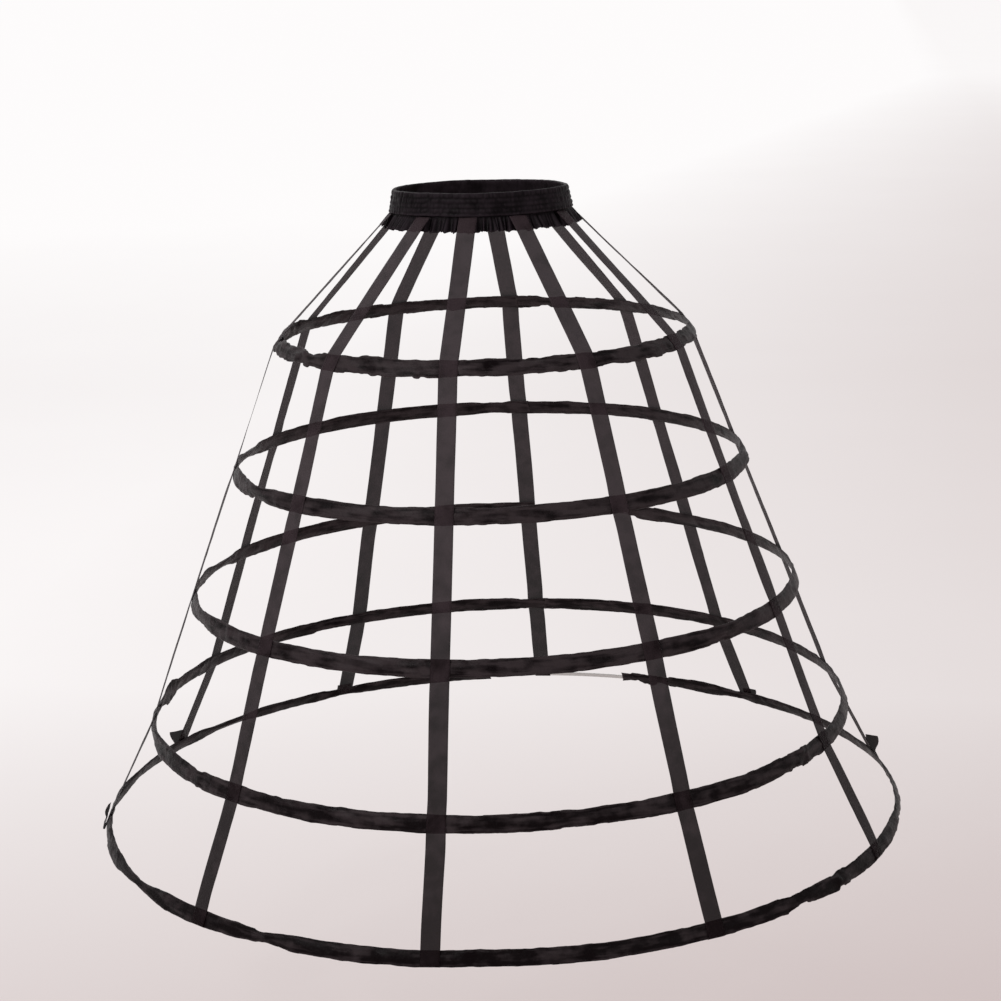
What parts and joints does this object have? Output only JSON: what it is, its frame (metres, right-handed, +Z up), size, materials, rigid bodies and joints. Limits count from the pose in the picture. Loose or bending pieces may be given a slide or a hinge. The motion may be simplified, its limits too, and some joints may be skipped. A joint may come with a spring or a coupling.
{
  "type": "crinoline cage",
  "caption": "Bell-shaped cage of cloth-covered hoops hung on flat tapes from an elasticated waistband, worn under a skirt to hold it out.",
  "frame": {"origin": "centre of the waist opening, halfway up the elasticated band", "axes": "+Z up along the wearer, -Y to the wearer's front, +X to the right of someone facing the front"},
  "size_m": [1.0104, 1.0088, 0.7855],
  "materials": {
    "band_cloth": "gathered black cotton sateen",
    "elastic": "woven black elastic",
    "tape_cloth": "black taffeta ribbon, slightly see-through",
    "casing_satin": "black satin, puckered",
    "bone_coat": "white plastic coat over flat spring steel",
    "joiner_metal": "crimped steel"
  },
  "bodies": {
    "root": {"waistband": "band_cloth", "waist_elastic": "elastic", "hoop_casing_1": "casing_satin", "hoop_bone_1": "bone_coat", "bone_joiner_1": "joiner_metal", "hoop_casing_2": "casing_satin", "hoop_bone_2": "bone_coat", "bone_joiner_2": "joiner_metal", "hoop_casing_3": "casing_satin", "hoop_bone_3": "bone_coat", "bone_joiner_3": "joiner_metal", "hoop_casing_4": "casing_satin", "hoop_bone_4": "bone_coat", "bone_joiner_4": "joiner_metal", "hoop_casing_5": "casing_satin", "hoop_bone_5": "bone_coat", "bone_joiner_5": "joiner_metal", "tape_1": "tape_cloth", "tape_2": "tape_cloth", "tape_3": "tape_cloth", "tape_4": "tape_cloth", "tape_5": "tape_cloth", "tape_6": "tape_cloth", "tape_7": "tape_cloth", "tape_8": "tape_cloth", "tape_9": "tape_cloth", "tape_10": "tape_cloth"}
  },
  "joints": []
}
